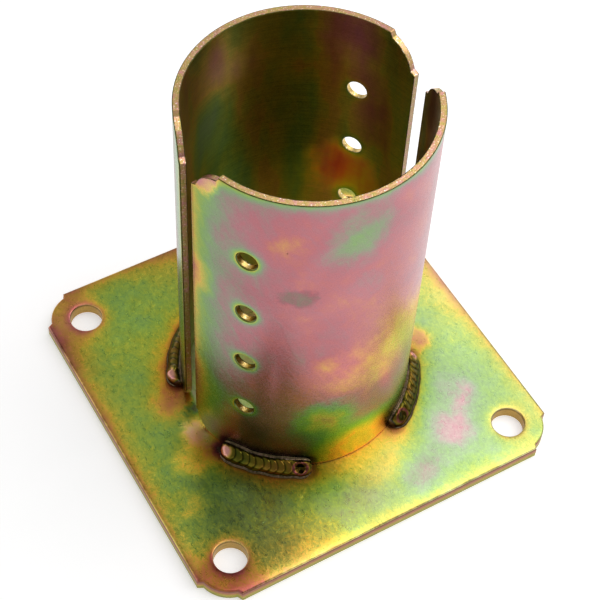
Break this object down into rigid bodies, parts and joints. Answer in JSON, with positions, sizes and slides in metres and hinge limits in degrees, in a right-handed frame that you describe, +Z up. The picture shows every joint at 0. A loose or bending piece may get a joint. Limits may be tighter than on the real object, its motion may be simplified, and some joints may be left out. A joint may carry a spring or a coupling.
{
  "type": "post base",
  "caption": "Round timber post base: square bolt-down plate carrying two upright half-round shells with slots between them and screw holes through both.",
  "frame": {"origin": "centre of the plate's underside, on the post's axis", "axes": "+Z up along the post's axis; X and Y along the plate's sides, with the slots towards -X and +X"},
  "size_m": [0.15, 0.15, 0.155],
  "materials": {
    "plate_zinc": "yellow passivated zinc, rolled steel",
    "shell_zinc": "yellow passivated zinc, rolled steel",
    "weld_zinc": "yellow passivated zinc over a rippled weld bead"
  },
  "bodies": {
    "root": {"base_plate": "plate_zinc", "front_shell": "shell_zinc", "back_shell": "shell_zinc", "weld_front_left": "weld_zinc", "weld_front_right": "weld_zinc", "weld_back_right": "weld_zinc", "weld_back_left": "weld_zinc"}
  },
  "joints": []
}
